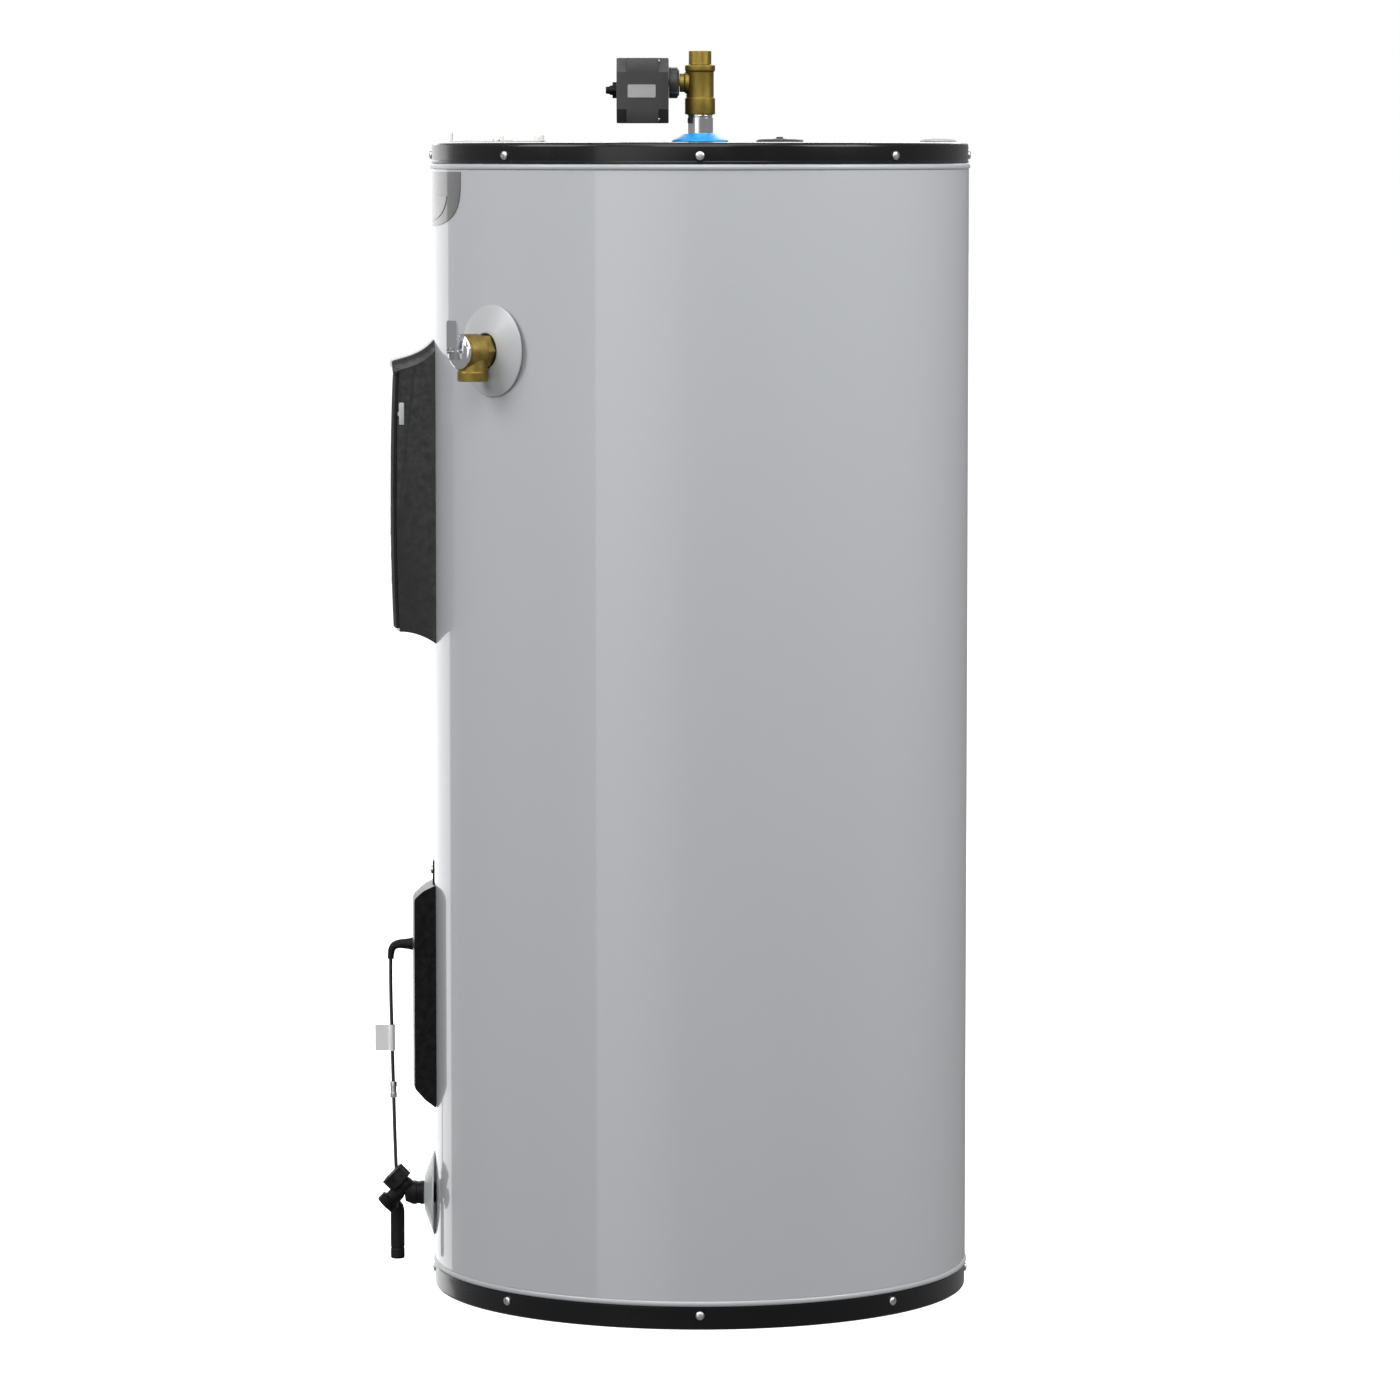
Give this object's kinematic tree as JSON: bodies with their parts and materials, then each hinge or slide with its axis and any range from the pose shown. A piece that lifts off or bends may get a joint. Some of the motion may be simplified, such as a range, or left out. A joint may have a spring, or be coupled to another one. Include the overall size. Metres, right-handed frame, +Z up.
{
  "type": "tank water heater",
  "caption": "Tall round electric storage water heater with black end covers, front control cover, side relief valve, drain valve, leak sensor and motorised inlet shutoff valve.",
  "frame": {"origin": "on the tank's vertical axis, at the base pan's underside, where the heater stands on the floor", "axes": "+Z up along the tank's axis; -Y towards the front with the control cover; +X towards the side with the cold inlet"},
  "size_m": [0.5628, 0.625, 1.2933],
  "materials": {
    "grey_paint": "satin",
    "pale_paint": "satin",
    "black_paint": "satin",
    "black_plastic": "satin",
    "grey_plastic": "satin",
    "pale_plastic": "satin",
    "blue_plastic": "gloss",
    "red_plastic": "gloss",
    "white_plastic": "satin",
    "steel": "satin",
    "chrome": "polished",
    "brass": "satin",
    "magnesium": "matte",
    "foam": "matte",
    "board": "satin",
    "glass": "gloss",
    "rubber": "matte",
    "paper": "matte"
  },
  "bodies": {
    "root": {"jacket": "grey_paint", "top_cap": "black_paint", "base_pan": "black_paint", "top_trim_ring": "pale_paint", "base_trim_ring": "pale_paint", "insulation_foam": "foam", "tank_shell": "steel", "tank_stand": "steel", "cold_inlet_nipple": "chrome", "hot_outlet_nipple": "chrome", "cold_inlet_ring": "blue_plastic", "hot_outlet_ring": "red_plastic", "dip_tube": "white_plastic", "anode_rod": "magnesium", "anode_access_plug": "grey_plastic", "foam_fill_plug": "pale_plastic", "junction_box": "steel", "junction_box_cover": "white_plastic", "shutoff_valve_body": "brass", "actuator_mount_ring": "grey_plastic", "actuator_housing": "grey_plastic", "actuator_cover": "grey_plastic", "actuator_cable_gland": "black_plastic", "actuator_motor": "steel", "relief_valve_body": "brass", "relief_valve_bonnet": "chrome", "relief_valve_spring": "steel", "relief_escutcheon": "pale_paint", "drain_valve_body": "black_plastic", "drain_escutcheon": "pale_paint", "upper_cover": "black_plastic", "upper_cover_fascia": "grey_plastic", "display_window": "glass", "side_port_cover": "pale_plastic", "control_board": "board", "upper_element_head": "steel", "upper_heating_rod": "steel", "lower_element_head": "steel", "lower_heating_rod": "steel", "high_limit_control": "black_plastic", "lower_temperature_sensor": "black_plastic", "lower_cover": "black_plastic", "cable_elbow": "rubber", "sensor_cable": "rubber", "cable_tag": "paper", "cable_ferrule": "steel", "leak_sensor": "rubber"},
    "relief_lever": {"relief_test_lever": "chrome", "relief_lever_pin": "steel"},
    "relief_stem": {"relief_valve_stem": "steel"},
    "drain_stem": {"drain_valve_stem": "black_plastic"},
    "drain_knob": {"drain_valve_knob": "black_plastic"},
    "shutoff_drive": {"shutoff_ball": "chrome", "shutoff_stem": "steel", "actuator_output_gear": "white_plastic"},
    "motor_pinion": {"actuator_pinion": "brass"},
    "up_key": {"button_up": "pale_plastic"},
    "mode_key": {"button_mode": "pale_plastic"},
    "down_key": {"button_down": "pale_plastic"},
    "reset_key": {"high_limit_reset_button": "red_plastic"}
  },
  "joints": [
    {"name": "relief_lever_hinge", "type": "hinge", "parent": "root", "child": "relief_lever", "pos_m": [0.21803, -0.24905, 0.9895], "axis": [0.7524, 0.6587, 0], "range_deg": [0, 80]},
    {"name": "relief_stem_lift", "type": "slide", "parent": "root", "child": "relief_stem", "axis": [0.6587, -0.7524, 0], "range_m": [0, 0.003], "stiffness_N_per_m": 400, "springref_m": -0.002, "deforming": ["relief_valve_spring"]},
    {"name": "drain_stem_travel", "type": "slide", "parent": "root", "child": "drain_stem", "axis": [0, -0.7071, 0.7071], "range_m": [0, 0.00375]},
    {"name": "drain_knob_turn", "type": "hinge", "parent": "drain_stem", "child": "drain_knob", "pos_m": [0, -0.3119, 0.1019], "axis": [0, -0.7071, 0.7071], "range_deg": [0, 900]},
    {"name": "shutoff_ball_turn", "type": "hinge", "parent": "root", "child": "shutoff_drive", "pos_m": [0.1016, 0, 1.261], "axis": [0, 1, 0], "range_deg": [0, 90]},
    {"name": "actuator_pinion_spin", "type": "hinge", "parent": "root", "child": "motor_pinion", "pos_m": [0.1016, 0, 1.241], "axis": [0, 1, 0], "range_deg": [-360, 0]},
    {"name": "button_up_press", "type": "slide", "parent": "root", "child": "up_key", "axis": [0, 1, 0], "range_m": [0, 0.001], "stiffness_N_per_m": 400},
    {"name": "button_mode_press", "type": "slide", "parent": "root", "child": "mode_key", "axis": [0, 1, 0], "range_m": [0, 0.001], "stiffness_N_per_m": 400},
    {"name": "button_down_press", "type": "slide", "parent": "root", "child": "down_key", "axis": [0, 1, 0], "range_m": [0, 0.001], "stiffness_N_per_m": 400},
    {"name": "high_limit_reset_press", "type": "slide", "parent": "root", "child": "reset_key", "axis": [0, 1, 0], "range_m": [0, 0.0015], "stiffness_N_per_m": 400}
  ],
  "couplings": [
    {"joint": "relief_lever_hinge", "follows": "relief_stem_lift", "rad_per_m": 465.4},
    {"joint": "drain_knob_turn", "follows": "drain_stem_travel", "rad_per_m": 4188.8},
    {"joint": "actuator_pinion_spin", "follows": "shutoff_ball_turn", "ratio": -4}
  ]
}
